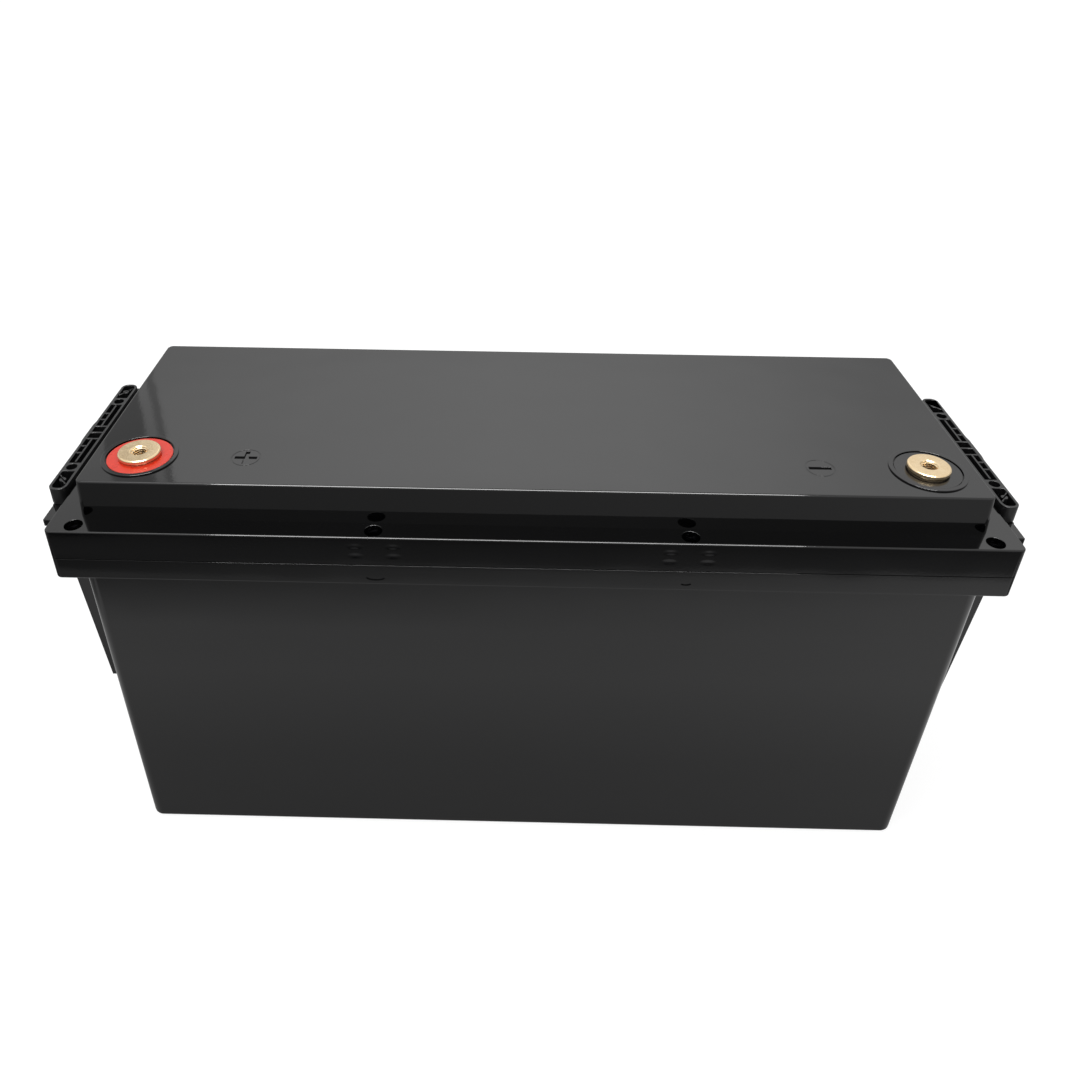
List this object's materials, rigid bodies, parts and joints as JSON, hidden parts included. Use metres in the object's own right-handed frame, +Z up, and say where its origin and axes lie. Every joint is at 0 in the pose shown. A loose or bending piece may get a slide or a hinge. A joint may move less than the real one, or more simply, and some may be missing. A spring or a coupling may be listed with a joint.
{
  "type": "battery pack",
  "caption": "Rectangular sealed battery in a black moulded case with a screwed raised lid, brass threaded terminals and pull-up end handles.",
  "frame": {"origin": "middle of the underside of the case, on the surface it stands on", "axes": "+X along the pack towards the negative terminal, +Y to the back, +Z up; the terminals lie nearer the front, at -Y"},
  "size_m": [0.5076, 0.176, 0.2478],
  "materials": {
    "black_abs": "moulded gloss",
    "handle_abs": "moulded gloss",
    "red_disc": "moulded gloss",
    "black_disc": "moulded gloss",
    "brass": "turned",
    "insert_brass": "knurled",
    "screw_steel": "zinc plated",
    "seal_rubber": "matt",
    "foam": "closed-cell foam",
    "cell_wrap": "blue film over an aluminium can",
    "post_aluminium": "turned",
    "fibreglass": "epoxy sheet",
    "strap_steel": "rolled",
    "copper": "tinned copper",
    "lug_tin": "tinned copper",
    "plate_aluminium": "milled",
    "board_green": "solder mask",
    "connector_nylon": "moulded",
    "red_sleeve": "silicone",
    "black_sleeve": "silicone",
    "harness_sleeve": "silicone"
  },
  "bodies": {
    "pack": {"case": "black_abs", "lid": "black_abs", "lid_gasket": "seal_rubber", "lid_screws": "screw_steel", "screw_inserts": "insert_brass", "sleeves_left": "black_abs", "sleeves_right": "black_abs", "handle_pins": "screw_steel", "positive_terminal": "brass", "negative_terminal": "brass", "positive_disc": "red_disc", "negative_disc": "black_disc", "terminal_seals": "seal_rubber", "terminal_washers": "screw_steel", "terminal_nuts": "brass", "cell_1": "cell_wrap", "cell_2": "cell_wrap", "cell_3": "cell_wrap", "cell_4": "cell_wrap", "cell_posts": "post_aluminium", "cell_vents": "post_aluminium", "cell_separators": "fibreglass", "end_plates": "fibreglass", "side_plates": "fibreglass", "pack_straps": "strap_steel", "floor_pad": "foam", "side_pads": "foam", "end_pad": "foam", "busbars": "copper", "busbar_nuts": "screw_steel", "bms_plate": "plate_aluminium", "bms_board": "board_green", "bms_heatsinks": "plate_aluminium", "bms_tabs": "copper", "bms_screws": "screw_steel", "bms_bolts": "screw_steel", "bms_connector": "connector_nylon", "cable_lugs": "lug_tin", "positive_lead": "red_sleeve", "negative_lead": "black_sleeve", "battery_lead": "black_sleeve", "sense_harness": "harness_sleeve"},
    "left_handle": {"handle_left": "handle_abs"},
    "right_handle": {"handle_right": "handle_abs"}
  },
  "joints": [
    {"name": "left_handle_lift", "type": "slide", "parent": "pack", "child": "left_handle", "axis": [0, 0, 1], "range_m": [0, 0.045]},
    {"name": "right_handle_lift", "type": "slide", "parent": "pack", "child": "right_handle", "axis": [0, 0, 1], "range_m": [0, 0.045]}
  ]
}
